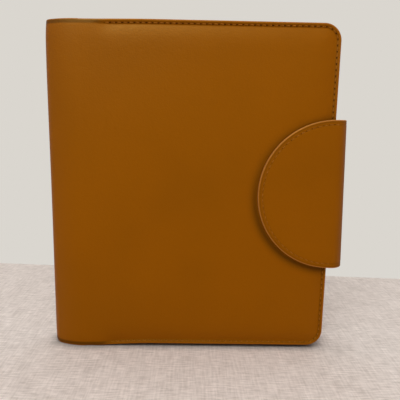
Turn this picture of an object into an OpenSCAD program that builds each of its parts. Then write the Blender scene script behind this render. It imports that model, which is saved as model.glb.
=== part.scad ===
// Leather folio case for a tablet, standing closed on its lower edge.
// The front cover faces -Y, the spine is at -X and the half-round closing flap is at +X.
// Each leather fold turns about a vertical line on the outer skin of the fold.

/* [Case] */
// Width of the closed case from spine to fore-edge, without the flap
case_w = 221; // [200:1:250]
// Height of the case
case_h = 256; // [230:1:290]
// Thickness over both covers
case_t = 27; // [25:0.5:34]
// Radius of the two fore-edge corners of each cover
corner_r = 13; // [11.5:0.5:24]
// Radius of the rounded spine
spine_r = 9.5; // [8.5:0.25:10.5]
// Distance from the spine at which the covers become flat
spine_run = 26; // [20:1:32]

/* [Cover layers] */
// Thickness of the cover leather
leather_t = 1.4; // [1.1:0.1:1.6]
// Thickness of the foam under the leather border
padding_t = 1.4; // [1:0.1:1.6]
// Thickness of the cover board
board_t = 2; // [1.5:0.1:2.2]
// Thickness of the inside lining
lining_t = 0.8; // [0.6:0.1:1]
// Height by which the padded field stands above the stitched border
swell = 1.2; // [0.8:0.1:1.4]
// Width over which the padded field rises
swell_run = 6; // [4:0.5:7]
// Width of the flat stitched border
border_w = 4.2; // [3.6:0.2:4.4]
// Distance from the spine at which the stitched border begins
border_start = 44; // [38:1:60]

/* [Flap] */
// Radius of the half-round flap
flap_r = 58; // [45:0.5:70]
// Gap between the closed flap and the front cover
flap_gap = 0.4; // [0.3:0.05:1]
// Thickness of the flap's outer leather
flap_leather_t = 1; // [0.8:0.1:1.2]
// Thickness of the stiffener inside the flap
stiffener_t = 1.2; // [1:0.1:1.5]
// Distance of the stiffener from the bend, so that the flap can fold there
stiffener_clear = 9; // [6:1:14]
// Thickness of the flap's inner leather
flap_lining_t = 0.8; // [0.6:0.1:1]
// Clear distance from the fore-edge to the ends of the flap's bend
bend_offset = 0.6; // [0.4:0.1:2]
// Distance by which the strap stands out from the fore-edge
bend_out = 11; // [9:0.5:13]
// Depth to which the strap is sewn into the back cover
anchor_depth = 16; // [10:1:24]

/* [Closure] */
// Diameter of the magnets in the flap
magnet_d = 15; // [10:0.5:18]
// Diameter of the steel keepers in the front cover
keeper_d = 18; // [12:0.5:22]
// Thickness of the steel keepers
keeper_t = 1; // [0.6:0.1:1]
// Spacing between the two magnets
magnet_spacing = 44; // [30:1:56]
// Distance of the magnets from the fore-edge
magnet_in = 30; // [20:1:36]

/* [Inside] */
// Width of the tablet bay
tablet_w = 186; // [160:1:188]
// Height of the tablet bay
tablet_h = 241; // [200:1:242]
// Depth of the tablet bay
tablet_t = 9; // [7:0.25:9.5]
// Thickness of the panel behind the tablet
panel_t = 1; // [0.8:0.1:1.2]
// Thickness of the corner holders
holder_t = 0.9; // [0.7:0.1:1.1]
// Length of a corner holder along the tablet's edges
holder_leg = 34; // [24:1:44]
// Bore radius of the pen loop
pen_r = 5.2; // [4.2:0.1:5.3]
// Length of the pen loop
pen_loop_len = 32; // [20:1:60]
// Thickness of the pen loop
pen_loop_t = 1.1; // [0.9:0.1:1.2]
// Thickness of the pocket leather
pocket_t = 0.7; // [0.6:0.05:0.8]
// Height of the slip pocket for papers
slip_h = 176; // [140:1:190]
// Width of a card pocket
card_w = 98; // [92:1:104]
// Height of the lowest card pocket
card_h = 62; // [56:1:66]
// Step between card pockets
card_step = 14; // [10:1:18]

/* [Stitching] */
// Distance between stitches
stitch_pitch = 4.4; // [4:0.1:6]
// Length of a stitch
stitch_len = 3.1; // [2.4:0.1:3.4]
// Radius of the thread
thread_r = 0.42; // [0.3:0.02:0.5]
// Distance of the cover stitching from the edge
stitch_inset = 2.7; // [2.2:0.1:3]
// Distance of the flap stitching from the edge
flap_stitch_inset = 3.6; // [3:0.1:5]

/* [Clearances] */
// Gap between leather pieces at each fold
fold_gap = 0.3; // [0.2:0.05:0.5]
// Glue line or play between pieces of one cover
fit = 0.1; // [0.05:0.05:0.15]

/* [Hidden] */
$fn = 96;

// Layers of a cover, as depths below the crown of the padded field
lap = 0.1;
field_in = leather_t;
border_in = swell + leather_t;
padding_in = border_in + padding_t;
board_in = padding_in + board_t;
cover_t = board_in + lining_t;
lining_x = spine_run + 1;
filling_x = lining_x + lining_t + fit;
filling_inset = leather_t + fit;

// Spine: a small round joined to both covers by large rounds
half_t = case_t / 2;
blend_r = ((spine_run - spine_r) ^ 2 + half_t ^ 2 - spine_r ^ 2) / (2 * (half_t - spine_r));
blend_y = blend_r - half_t;
crease_a = atan2(spine_run - spine_r, blend_y);
crease_x = spine_r - spine_r * sin(crease_a);
crease_y = spine_r * cos(crease_a);
spine_stiffener_t = 0.6;

// Flap and strap
flap_t = flap_leather_t + stiffener_t + flap_lining_t;
strap_t = flap_leather_t + flap_lining_t;
flap_face = half_t + flap_gap + flap_t;
strap_root = half_t - border_in;
bend_x = case_w + bend_offset;
bend_r = bend_out - bend_offset;
bend_front_y = bend_r - flap_face;
bend_back_y = strap_root - bend_r;
mid_z = case_h / 2;
stiffener_inset = 0.4;
magnet_fit = 0.15;

// Inside; the bay is never larger than the cover leaves room for
panel_margin = holder_t + 1;
bay_w = min(tablet_w, case_w - lining_x - filling_inset - 2 * panel_margin);
bay_h = min(tablet_h, case_h - 2 * filling_inset - 2 * panel_margin);
bay_x = (lining_x + case_w - leather_t - bay_w) / 2;
bay_z = (case_h - bay_h) / 2;
panel_in = cover_t + panel_t;
bay_in = panel_in + tablet_t;
slip_x = 38;
slip_margin = 6;
card_x = 60;
card_z = 58;
card_count = 3;

// Origin under the middle of the closed case
shift_x = -(case_w + bend_out) / 2;
shift_y = (flap_face + thread_r - half_t) / 2;

// Tools for sheets of leather, board and foam

// Puts the case's own corner coordinates into the shared frame
module place() {
  translate([shift_x, shift_y, 0]) children();
}

// Moves front cover shapes to the back cover
module as_back() {
  mirror([0, 1, 0]) children();
}

// A flat outline turned upright, its outer face towards the front at the given depth below the crown
module upright(depth) {
  translate([0, depth - half_t, 0]) rotate([90, 0, 0]) children();
}

// A flat sheet between two depths below the crown of the front cover
module layer(outer, inner) {
  upright(inner) linear_extrude(inner - outer) children();
}

// Outline of a cover from a given distance off the spine, drawn in from its three free edges
module cover_outline(inset, x0) {
  r = corner_r - inset;
  right = case_w - inset;
  top = case_h - inset;
  difference() {
    translate([x0, inset]) square([right - x0, top - inset]);
    translate([right - r, inset]) corner_waste(r, -1);
    translate([right - r, top]) corner_waste(r, 1);
  }
}

// What a rounded corner takes away, pointing up or down
module corner_waste(r, side) {
  mirror([0, side > 0 ? 1 : 0]) difference() {
    translate([0, -1]) square([r + 1, r + 1]);
    translate([0, r]) circle(r);
  }
}

// Section of the padded field's rising edge, from the flat field outwards, lapping into field and border
module swell_section() {
  rise_r = (swell_run ^ 2 + swell ^ 2) / (2 * swell);
  intersection() {
    square([swell_run, swell]);
    translate([0, swell - rise_r]) circle(rise_r);
  }
  translate([-lap, -lap]) square([lap, swell + lap]);
  translate([-lap, -lap]) square([swell_run + lap, lap]);
}

// The padded field above the border: flat, with rounded edges towards the three stitched sides
module padded_field(edge) {
  translate([0, 0, -lap]) linear_extrude(swell + lap) {
    translate([spine_run, edge]) square([border_start - spine_run, case_h - 2 * edge]);
    cover_outline(border_w + swell_run, spine_run);
  }
  translate([case_w - corner_r, case_h - corner_r, 0]) rising_edge();
  translate([case_w - corner_r, corner_r, 0]) mirror([0, 1, 0]) rising_edge();
}

// Rising edge of the upper half of the field: half the fore-edge, the corner and the top
module rising_edge() {
  r = corner_r - border_w - swell_run;
  rotate([90, 0, 0]) linear_extrude(case_h / 2 - corner_r + lap) translate([r, 0]) swell_section();
  rotate_extrude(angle = 90) translate([r, 0]) swell_section();
  mirror([1, 0, 0]) rotate([90, 0, 90]) linear_extrude(case_w - corner_r - border_start + lap)
    translate([r, 0]) swell_section();
}

// Section of a curved sheet between the flat cover and the spine crease, between two depths
module blend_section(outer, inner) {
  gap_a = asin(fold_gap / 2 / blend_r);
  reach = 1.2 * blend_r;
  edge_a = crease_a - gap_a;
  translate([spine_run, blend_y]) intersection() {
    difference() {
      circle(blend_r - outer);
      circle(blend_r - inner);
    }
    polygon([[0, 0], [0, -reach], [-reach * sin(edge_a), -reach * cos(edge_a)]]);
  }
}

// Section of a curved sheet round the spine, between two depths below its outer skin
module spine_section(outer, inner) {
  gap_a = asin(fold_gap / 2 / spine_r);
  edge_a = crease_a + gap_a;
  reach = 3 * spine_r;
  tip = [-reach * sin(edge_a), reach * cos(edge_a)];
  translate([spine_r, 0]) intersection() {
    difference() {
      circle(spine_r - outer);
      circle(spine_r - inner);
    }
    polygon([[0, 0], tip, [-reach, tip[1]], [-reach, -tip[1]], [tip[0], -tip[1]]]);
  }
}

// Section of the strap's bend, between two depths below its outer skin
module bend_section(outer, inner) {
  intersection() {
    difference() {
      bend_outline(bend_r - outer);
      bend_outline(bend_r - inner);
    }
    translate([bend_x + fold_gap / 2, -flap_face]) square([bend_r, flap_face + strap_root]);
  }
}

// Everything within a given distance of the line between the bend's two centres
module bend_outline(r) {
  translate([bend_x, bend_front_y]) circle(r);
  translate([bend_x, bend_back_y]) circle(r);
  translate([bend_x - r, bend_front_y]) square([2 * r, bend_back_y - bend_front_y]);
}

// Half-round outline of the flap, drawn in from its edge
module flap_outline(inset) {
  r = flap_r - inset;
  intersection() {
    union() {
      translate([case_w, mid_z]) circle(r);
      translate([case_w, mid_z - r]) square([2 * bend_offset, 2 * r]);
    }
    translate([case_w - flap_r, mid_z - r]) square([flap_r + bend_offset - fold_gap / 2, 2 * r]);
  }
}

// One stitch: thread lying flat side down, along X
module stitch() {
  rotate([90, 0, 90]) linear_extrude(stitch_len, center = true) intersection() {
    circle(thread_r);
    translate([-thread_r, 0]) square([2 * thread_r, thread_r]);
  }
}

// Stitches spread evenly along a straight line
module stitch_run(from, to) {
  way = to - from;
  count = floor(norm(way) / stitch_pitch);
  turn = atan2(way[1], way[0]);
  for (i = [0 : count - 1]) {
    at = from + way * (i + 0.5) / count;
    translate([at[0], at[1], 0]) rotate([0, 0, turn]) stitch();
  }
}

// Stitches spread evenly round an arc
module stitch_arc(centre, r, start, sweep) {
  count = round(r * sweep * PI / 180 / stitch_pitch);
  for (i = [0 : count - 1]) {
    a = start + sweep * (i + 0.5) / count;
    translate([centre[0] + r * cos(a), centre[1] + r * sin(a), 0]) rotate([0, 0, a + 90]) stitch();
  }
}

// The places of the two magnets and of their keepers
module at_magnets() {
  for (side = [-1, 1]) translate([case_w - magnet_in, mid_z + side * magnet_spacing / 2]) children();
}

// Cover pieces, drawn for the front and mirrored for the back

// Leather tray with a padded field, a stitched border, turned edges and a curve towards the spine
module cover_leather() {
  difference() {
    union() {
      upright(swell) padded_field(0);
      layer(swell, border_in) cover_outline(0, spine_run);
      layer(border_in - lap, cover_t) difference() {
        cover_outline(0, spine_run);
        cover_outline(leather_t, spine_run - 1);
      }
    }
    upright(border_in) padded_field(leather_t);
  }
  linear_extrude(case_h) blend_section(0, leather_t);
}

// Foam filling of the field and border
module cover_padding() {
  upright(border_in + fit) intersection() {
    padded_field(filling_inset);
    translate([filling_x, 0, -lap]) cube([case_w, case_h, swell + lap]);
  }
  layer(border_in + fit, padding_in) cover_outline(filling_inset, filling_x);
}

// Stiff board behind the foam
module cover_board() {
  layer(padding_in, board_in) cover_outline(filling_inset, filling_x);
}

// Lining of a cover: flat inside, stepping down over the board's end and following the curve to the crease
module cover_lining() {
  z0 = filling_inset;
  layer(board_in, cover_t) cover_outline(filling_inset, lining_x);
  translate([lining_x, field_in + fit - half_t, z0]) cube([lining_t, board_in - field_in, case_h - 2 * z0]);
  translate([spine_run, field_in + fit - half_t, z0])
    cube([lining_x + lining_t - spine_run, lining_t, case_h - 2 * z0]);
  translate([0, 0, z0]) linear_extrude(case_h - 2 * z0) blend_section(field_in + fit, field_in + fit + lining_t);
}

// Stitching round the three free edges of a cover
module cover_stitching() {
  near = stitch_inset;
  r = corner_r - stitch_inset;
  right = case_w - corner_r;
  upper = case_h - corner_r;
  upright(swell) {
    stitch_run([border_start, case_h - near], [right, case_h - near]);
    stitch_arc([right, upper], r, 0, 90);
    stitch_run([case_w - near, upper], [case_w - near, corner_r]);
    stitch_arc([right, corner_r], r, -90, 90);
    stitch_run([right, near], [border_start, near]);
  }
}

// Holder for one corner of the tablet: two walls and a three-cornered cap
module corner_holder(right, upper) {
  translate([right ? bay_x + bay_w : bay_x, 0, upper ? bay_z + bay_h : bay_z])
    mirror([right ? 1 : 0, 0, 0]) mirror([0, 0, upper ? 1 : 0]) {
      layer(bay_in, bay_in + holder_t) polygon([[-holder_t, -holder_t], [holder_leg, -holder_t],
        [-holder_t, holder_leg]]);
      layer(panel_in, bay_in) translate([-holder_t, -holder_t]) difference() {
        square(holder_leg);
        translate([holder_t, holder_t]) square(holder_leg);
      }
    }
}

// Back cover

// Outer leather of the back, with a slit in the fore-edge for the strap
module back_leather() {
  color([0.53, 0.29, 0.06]) difference() {
    as_back() cover_leather();
    strap_slit(0);
  }
}

// Way through the fore-edge for the sewn end of the strap, cut deeper where the foam leaves room for it
module strap_slit(deeper) {
  translate([case_w - anchor_depth - fit, strap_root - padding_t - deeper, mid_z - flap_r - fit])
    cube([anchor_depth + 1, padding_t + deeper, 2 * (flap_r + fit)]);
}

module back_padding() {
  color([0.85, 0.83, 0.78]) difference() {
    as_back() cover_padding();
    strap_slit(board_t);
  }
}

module back_board() {
  color([0.62, 0.55, 0.45]) as_back() cover_board();
}

module back_lining() {
  color([0.36, 0.23, 0.13]) as_back() cover_lining();
}

module back_stitching() {
  color([0.3, 0.15, 0.04]) as_back() cover_stitching();
}

// Leather panel behind the tablet, to which the corner holders are sewn
module holder_panel() {
  color([0.5, 0.27, 0.06]) as_back() layer(cover_t, panel_in)
    translate([bay_x - panel_margin, bay_z - panel_margin])
      square([bay_w + 2 * panel_margin, bay_h + 2 * panel_margin]);
}

module holder(right, upper) {
  color([0.52, 0.28, 0.06]) as_back() corner_holder(right, upper);
}

// End of the strap, thinned and sewn between leather and board of the back cover
module flap_anchor() {
  reach = anchor_depth + bend_offset - fold_gap / 2;
  color([0.5, 0.27, 0.05]) translate([case_w - anchor_depth, strap_root - padding_t + fit / 2, mid_z - flap_r])
    cube([reach, padding_t - fit, 2 * flap_r]);
}

// Spine

module spine_leather() {
  color([0.53, 0.3, 0.06]) linear_extrude(case_h) spine_section(0, leather_t);
}

// Thin flexible strip that keeps the spine round
module spine_stiffener() {
  outer = leather_t + fit;
  color([0.62, 0.55, 0.45]) translate([0, 0, filling_inset]) linear_extrude(case_h - 2 * filling_inset)
    spine_section(outer, outer + spine_stiffener_t);
}

module spine_lining() {
  outer = leather_t + spine_stiffener_t + 2 * fit;
  color([0.36, 0.23, 0.13]) translate([0, 0, filling_inset]) linear_extrude(case_h - 2 * filling_inset)
    spine_section(outer, outer + lining_t);
}

// Leather loop for a pen, sewn into the hollow of the spine
module pen_loop() {
  color([0.52, 0.28, 0.06]) translate([spine_r, 0, mid_z - pen_loop_len / 2]) difference() {
    cylinder(r = pen_r + pen_loop_t, h = pen_loop_len);
    translate([0, 0, -1]) cylinder(r = pen_r, h = pen_loop_len + 2);
  }
}

// Front cover

module front_leather() {
  color([0.53, 0.29, 0.06]) cover_leather();
}

module front_padding() {
  color([0.85, 0.83, 0.78]) difference() {
    cover_padding();
    layer(0, field_in + fit + swell) at_magnets() circle(keeper_d / 2 + fit);
  }
}

module front_board() {
  color([0.62, 0.55, 0.45]) cover_board();
}

module front_lining() {
  color([0.36, 0.23, 0.13]) cover_lining();
}

module front_stitching() {
  color([0.3, 0.15, 0.04]) cover_stitching();
}

// Steel discs under the front leather that the flap magnets hold to
module keeper_plates() {
  color([0.7, 0.71, 0.73]) layer(field_in + fit, field_in + fit + keeper_t) at_magnets() circle(keeper_d / 2);
}

// Pocket for papers on the inside of the front cover, open at the top
module slip_pocket() {
  right = case_w - filling_inset - slip_margin;
  color([0.52, 0.28, 0.06]) layer(cover_t, cover_t + pocket_t) translate([slip_x, slip_margin])
    square([right - slip_x, slip_h]);
}

// One card pocket, counted from the rear, sewn to the slip pocket
module card_pocket(number) {
  outer = cover_t + number * pocket_t;
  color([0.53, 0.29, 0.07]) layer(outer, outer + pocket_t) translate([card_x, card_z])
    square([card_w, card_h + (card_count - number) * card_step]);
}

// Strap: the bend of the flap round the fore-edge

module strap_leather() {
  color([0.53, 0.29, 0.06]) translate([0, 0, mid_z - flap_r]) linear_extrude(2 * flap_r)
    bend_section(0, flap_leather_t);
}

module strap_lining() {
  color([0.45, 0.25, 0.07]) translate([0, 0, mid_z - flap_r]) linear_extrude(2 * flap_r)
    bend_section(flap_leather_t + fit, strap_t);
}

// Flap, lying on the front cover

// A flat sheet of the flap between two depths below its outer face
module flap_layer(outer, inner) {
  layer(half_t - flap_face + outer, half_t - flap_face + inner) children();
}

module flap_leather() {
  color([0.53, 0.3, 0.06]) flap_layer(0, flap_leather_t) flap_outline(0);
}

// Stiff sheet inside the flap, with two seats for the magnets
module flap_stiffener() {
  color([0.62, 0.55, 0.45]) flap_layer(flap_leather_t, flap_leather_t + stiffener_t) difference() {
    flap_outline(stiffener_inset);
    at_magnets() circle(magnet_d / 2 + magnet_fit);
    translate([case_w - stiffener_clear, 0]) square([2 * stiffener_clear, case_h]);
  }
}

module flap_magnets() {
  color([0.6, 0.61, 0.63]) flap_layer(flap_leather_t, flap_leather_t + stiffener_t) at_magnets()
    circle(magnet_d / 2);
}

module flap_lining() {
  color([0.45, 0.25, 0.07]) flap_layer(flap_leather_t + stiffener_t, flap_t) flap_outline(0);
}

module flap_stitching() {
  color([0.3, 0.15, 0.04]) upright(half_t - flap_face)
    stitch_arc([case_w, mid_z], flap_r - flap_stitch_inset, 90, 180);
}

place() back_leather();
place() back_padding();
place() back_board();
place() back_lining();
place() back_stitching();
place() holder_panel();
place() holder(false, true);  // upper_inner_holder
place() holder(true, true);  // upper_outer_holder
place() holder(false, false);  // lower_inner_holder
place() holder(true, false);  // lower_outer_holder
place() flap_anchor();
place() spine_leather();
place() spine_stiffener();
place() spine_lining();
place() pen_loop();
place() front_leather();
place() front_padding();
place() front_board();
place() front_lining();
place() front_stitching();
place() keeper_plates();
place() slip_pocket();
place() card_pocket(1);  // card_pocket_rear
place() card_pocket(2);  // card_pocket_middle
place() card_pocket(3);  // card_pocket_front
place() strap_leather();
place() strap_lining();
place() flap_leather();
place() flap_stiffener();
place() flap_magnets();
place() flap_lining();
place() flap_stitching();
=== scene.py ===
import math

import bmesh
import bpy
import numpy as np
from mathutils import Matrix, Vector


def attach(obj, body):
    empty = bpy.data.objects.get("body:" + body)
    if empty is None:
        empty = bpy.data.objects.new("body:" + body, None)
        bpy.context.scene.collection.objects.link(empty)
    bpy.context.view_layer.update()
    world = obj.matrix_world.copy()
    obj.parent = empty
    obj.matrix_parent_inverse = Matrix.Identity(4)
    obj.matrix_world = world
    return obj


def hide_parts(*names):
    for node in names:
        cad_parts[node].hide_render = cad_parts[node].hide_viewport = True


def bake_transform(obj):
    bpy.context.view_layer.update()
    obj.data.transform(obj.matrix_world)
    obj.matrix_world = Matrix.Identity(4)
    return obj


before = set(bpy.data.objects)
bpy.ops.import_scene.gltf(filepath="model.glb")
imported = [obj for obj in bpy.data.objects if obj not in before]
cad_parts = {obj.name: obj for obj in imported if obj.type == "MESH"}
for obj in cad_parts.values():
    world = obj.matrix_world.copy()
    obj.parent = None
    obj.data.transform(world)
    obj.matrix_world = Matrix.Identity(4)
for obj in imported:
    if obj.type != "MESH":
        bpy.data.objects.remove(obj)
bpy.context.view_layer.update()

# Case boards and inner strips: grey pasteboard cut to the covers, a thin strip in the spine and
# a stiff sheet in the flap. They are glued between leather and lining, so only their edges could show.
MM = 0.001
CASE_W, CASE_H, CASE_T = 221.0, 256.0, 27.0
CORNER_R = 13.0
SPINE_R, SPINE_RUN = 9.5, 26.0
SPINE_DRAW, SPINE_DRAW_RUN = 1.0, 18.0
FLAP_GAP, FLAP_T, THREAD_R, BEND_OUT = 0.4, 3.0, 0.42, 11.0
FRONT_LIFT, BACK_LIFT, HEAD_DROP, LIFT_RUN = 2.0, 0.5, 0.7, 56.0
FOOT_ROUND, FOOT_ROUND_X, FOOT_ROUND_Z = 2.4, 7.0, 30.0
BOARD_OUT, BOARD_IN, BOARD_INSET, BOARD_X, BOARD_STEP = 4.0, 6.0, 2.4, 28.2, 12.0
STRIP_OUT, STRIP_IN, STRIP_INSET, STRIP_HALF = 1.5, 2.1, 3.0, 10.0
HALF_T = CASE_T / 2
MID_Z = CASE_H / 2
FLAP_FACE = HALF_T + FLAP_GAP + FLAP_T
SHIFT_X = -(CASE_W + BEND_OUT) / 2
SHIFT_Y = (FLAP_FACE + THREAD_R - HALF_T) / 2

blend_r = ((SPINE_RUN - SPINE_R) ** 2 + HALF_T ** 2 - SPINE_R ** 2) / (2 * (HALF_T - SPINE_R))
blend_y = blend_r - HALF_T
crease_a = math.atan2(SPINE_RUN - SPINE_R, blend_y)
spine_arc = SPINE_R * (math.pi / 2 - crease_a)
flat_from = spine_arc + blend_r * crease_a
cover_len = flat_from + CASE_W - SPINE_RUN


def at_frame(x, y, z):
    """Millimetres from the spine's foot to metres in the shared frame."""
    return ((x + SHIFT_X) * MM, (y + SHIFT_Y) * MM, z * MM)


def plain_colour(red, green, blue):
    """Linear colour of a finish that is known by its everyday 0 to 255 values."""
    def linear(value):
        value /= 255
        return value / 12.92 if value <= 0.04045 else ((value + 0.055) / 1.055) ** 2.4
    return (linear(red), linear(green), linear(blue), 1.0)


def finish(name, roughness, specular=0.5, metallic=0.0):
    """A new material with its node tree, shader and a texture coordinate in the case's own frame."""
    material = bpy.data.materials.new(name)
    material.use_nodes = True
    tree = material.node_tree
    shader = tree.nodes["Principled BSDF"]
    shader.inputs["Roughness"].default_value = roughness
    shader.inputs["Specular IOR Level"].default_value = specular
    shader.inputs["Metallic"].default_value = metallic
    where = tree.nodes.new("ShaderNodeTexCoord").outputs["Object"]
    return material, tree, shader, where


def noise(tree, where, scale, detail=2.0, roughness=0.5):
    """Soft random strength from 0 to 1, with the scale in spots to the metre."""
    node = tree.nodes.new("ShaderNodeTexNoise")
    node.inputs["Scale"].default_value = scale
    node.inputs["Detail"].default_value = detail
    node.inputs["Roughness"].default_value = roughness
    tree.links.new(where, node.inputs["Vector"])
    return node.outputs["Fac"]


def ramp(tree, factor, *stops):
    """Colour that follows a strength through the given stops."""
    node = tree.nodes.new("ShaderNodeValToRGB")
    elements = node.color_ramp.elements
    while len(elements) < len(stops):
        elements.new(0.5)
    for element, (place, colour) in zip(elements, stops):
        element.position = place
        element.color = colour
    tree.links.new(factor, node.inputs["Fac"])
    return node.outputs["Color"]


def bump(tree, shader, height, distance, strength=1.0):
    """Fine relief of a surface, its full height given in metres."""
    node = tree.nodes.new("ShaderNodeBump")
    node.inputs["Distance"].default_value = distance
    node.inputs["Strength"].default_value = strength
    tree.links.new(height, node.inputs["Height"])
    tree.links.new(node.outputs["Normal"], shader.inputs["Normal"])


def pasteboard():
    material, tree, shader, where = finish("pasteboard", 0.9, 0.2)
    fibres = noise(tree, where, 900, 6, 0.7)
    colour = ramp(tree, fibres, (0.3, plain_colour(128, 116, 98)), (0.7, plain_colour(168, 156, 134)))
    tree.links.new(colour, shader.inputs["Base Color"])
    bump(tree, shader, fibres, 0.2 * MM, 0.5)
    return material


def cover_line(s):
    """Section of the front cover from the middle of the spine: place and inward direction."""
    turn = np.clip(s / SPINE_R, 0, math.pi / 2 - crease_a)
    ease = np.clip(crease_a - (s - spine_arc) / blend_r, 0, crease_a)
    on_spine, on_flat = s <= spine_arc, s >= flat_from
    x = np.where(on_spine, SPINE_R * (1 - np.cos(turn)), SPINE_RUN - blend_r * np.sin(ease))
    y = np.where(on_spine, -SPINE_R * np.sin(turn), blend_y - blend_r * np.cos(ease))
    nx = np.where(on_spine, np.cos(turn), np.sin(ease))
    ny = np.where(on_spine, np.sin(turn), np.cos(ease))
    x = np.where(on_flat, SPINE_RUN + s - flat_from, x)
    return x, y, nx, ny


def smooth(value, low, high):
    """Soft step from 0 at the low value to 1 at the high one."""
    t = np.clip((value - low) / (high - low), 0, 1)
    return t * t * (3 - 2 * t)


def between(low, high, step):
    """Evenly spaced places strictly between two ends."""
    count = max(2, int(math.ceil((high - low) / step)))
    return np.linspace(low, high, count + 1)[1:-1]


def drawn_in(edge):
    """How far the spine's ends are drawn in where the leather is turned over."""
    return SPINE_DRAW * np.clip(1 - edge / SPINE_DRAW_RUN, 0, 1) ** 2.2


def level_up(x, z, lift):
    """Height after sewing: the spine hangs lowest, rounded at its foot; the covers stand clear of the table."""
    cover = smooth(x, SPINE_RUN, SPINE_RUN + LIFT_RUN)
    corner = np.clip(1 - x / FOOT_ROUND_X, 0, 1) ** 2 * np.clip(1 - z / FOOT_ROUND_Z, 0, 1) ** 2
    raised = z * (1 - HEAD_DROP / CASE_H) + cover * (lift + z * (HEAD_DROP - lift) / CASE_H)
    return raised + FOOT_ROUND * corner


def placed(name, data):
    """Puts a mesh, a lamp or a camera into the scene as an object at the origin."""
    piece = bpy.data.objects.new(name, data)
    bpy.context.scene.collection.objects.link(piece)
    return piece


def shell(name, line, columns, rows, corner, outer, inner, shade=None, mirrored=False, lift=None,
          underside_shade=0.0):
    """A closed sheet along a section line, its two far corners rounded, between two depths."""
    length, low, high = columns[-1], rows[0], rows[-1]
    s, z = np.meshgrid(columns, rows, indexing="ij")
    edge = np.minimum(z - low, high - z)
    if corner:
        edge = np.minimum(edge, length - s)
        upper = z > (low + high) / 2
        a = np.clip((s - length) / corner + 1, 0, None)
        b = np.clip(np.where(upper, (z - high) / corner + 1, (low - z) / corner + 1), 0, None)
        cut = (a > 1e-9) & (b > 1e-9)
        r = np.maximum(a, b)
        safe = np.maximum(r, 1e-9)
        turn = np.where(a >= b, math.pi / 4 * b / safe, math.pi / 2 - math.pi / 4 * a / safe)
        s = np.where(cut, length - corner + corner * r * np.cos(turn), s)
        rise = corner * r * np.sin(turn)
        z = np.where(cut, np.where(upper, high - corner + rise, low + corner - rise), z)
    x, y, nx, ny = line(s)
    side = -1 if mirrored else 1
    height = z if lift is None else level_up(x, z, lift)
    verts = []
    for depth in (outer(x, edge, z), inner(x, edge, z)):
        px, py = x + nx * depth, side * (y + ny * depth)
        verts.append(np.stack(at_frame(px, py, height), -1).reshape(-1, 3))
    n, m = len(columns), len(rows)
    index = np.arange(n * m).reshape(n, m)
    other = index + n * m
    faces = []
    for grid, turned in ((index, False), (other, True)):
        quads = np.stack([grid[:-1, :-1], grid[1:, :-1], grid[1:, 1:], grid[:-1, 1:]], -1)
        quads = quads.reshape(-1, 4)
        faces += (quads[:, ::-1] if turned else quads).tolist()
    for near, far in ((index[::-1, 0], other[::-1, 0]), (index[:, -1], other[:, -1]),
                      (index[-1, ::-1], other[-1, ::-1]), (index[0, :], other[0, :])):
        faces += np.stack([near[:-1], near[1:], far[1:], far[:-1]], -1)[:, ::-1].tolist()
    mesh = bpy.data.meshes.new(name)
    mesh.from_pydata(np.concatenate(verts).tolist(), [], faces)
    work = bmesh.new()
    work.from_mesh(mesh)
    bmesh.ops.recalc_face_normals(work, faces=work.faces)
    if work.calc_volume(signed=True) < 0:
        bmesh.ops.reverse_faces(work, faces=work.faces)
    for face in work.faces:
        face.smooth = True
    work.verts.ensure_lookup_table()
    for ring in (index[0], other[0]):
        for start, end in zip(ring, ring[1:]):
            work.edges.get((work.verts[start], work.verts[end])).smooth = False
    work.to_mesh(mesh)
    work.free()
    if shade:
        groove, rim = shade(x, edge)
        # The back face can be darkened next to the outline: partly the lining's darker edge, partly painted
        # shade in the gap under the flap.
        underside_dark = underside_shade * (1 - smooth(edge, 0, 0.6))
        for label, face, back in (("groove", groove, np.maximum(groove, underside_dark)),
                                  ("rim", rim, rim * (1 - underside_shade))):
            mark = mesh.attributes.new(label, "FLOAT", "POINT")
            strength = np.concatenate([face.ravel(), back.ravel()])
            mark.data.foreach_set("value", strength.astype(np.float32))
    return placed(name, mesh)


def dress(piece, material, slot, *nodes):
    """Gives a piece its finish and hides the solids that it stands for."""
    piece.data.materials.append(material)
    if nodes:
        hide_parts(*nodes)


def wear(node, material):
    """Gives a solid that is kept as built its finish."""
    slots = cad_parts[node].data.materials
    slots.clear()
    slots.append(material)


def fold(piece):
    """Applies the placement of a piece that crosses from the spine to a cover to its mesh."""
    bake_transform(piece)


def even_depth(depth):
    return lambda x, edge, z: np.full_like(x, depth)


def strip_depth(depth):
    return lambda x, edge, z: depth + drawn_in(edge + STRIP_INSET)


board = pasteboard()
wear("flap_stiffener", board)
board_from, board_round = flat_from + BOARD_X - SPINE_RUN, CORNER_R - BOARD_INSET
board_columns = np.concatenate([[board_from], between(board_from, cover_len - CORNER_R, BOARD_STEP),
                                np.linspace(cover_len - CORNER_R, cover_len - BOARD_INSET, 9)])
board_rows = np.concatenate([np.linspace(BOARD_INSET, CORNER_R, 9),
                             between(CORNER_R, CASE_H - CORNER_R, BOARD_STEP),
                             np.linspace(CASE_H - CORNER_R, CASE_H - BOARD_INSET, 9)])
strip_columns = np.linspace(0, STRIP_HALF, 13)
strip_rows = np.linspace(STRIP_INSET, CASE_H - STRIP_INSET, 65)
for body, side, lift in (("back", 1, BACK_LIFT), ("front", -1, FRONT_LIFT)):
    plate = shell(f"{body}_plate", cover_line, board_columns, board_rows, board_round,
                  even_depth(BOARD_OUT), even_depth(BOARD_IN), mirrored=side > 0, lift=lift)
    dress(plate, board, "board", f"{body}_board")
    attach(plate, body)
    strip = shell(f"{body}_spine_strip", cover_line, strip_columns, strip_rows, 0,
                  strip_depth(STRIP_OUT), strip_depth(STRIP_IN), mirrored=side > 0, lift=lift)
    dress(strip, board, "board", *(["spine_stiffener"] if side < 0 else []))
    fold(strip)

# Magnets and keepers: nickel-plated discs in the flap and plain steel discs in the front cover,
# glued in before the leather goes on, so that the flap closes without a stud.


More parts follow.
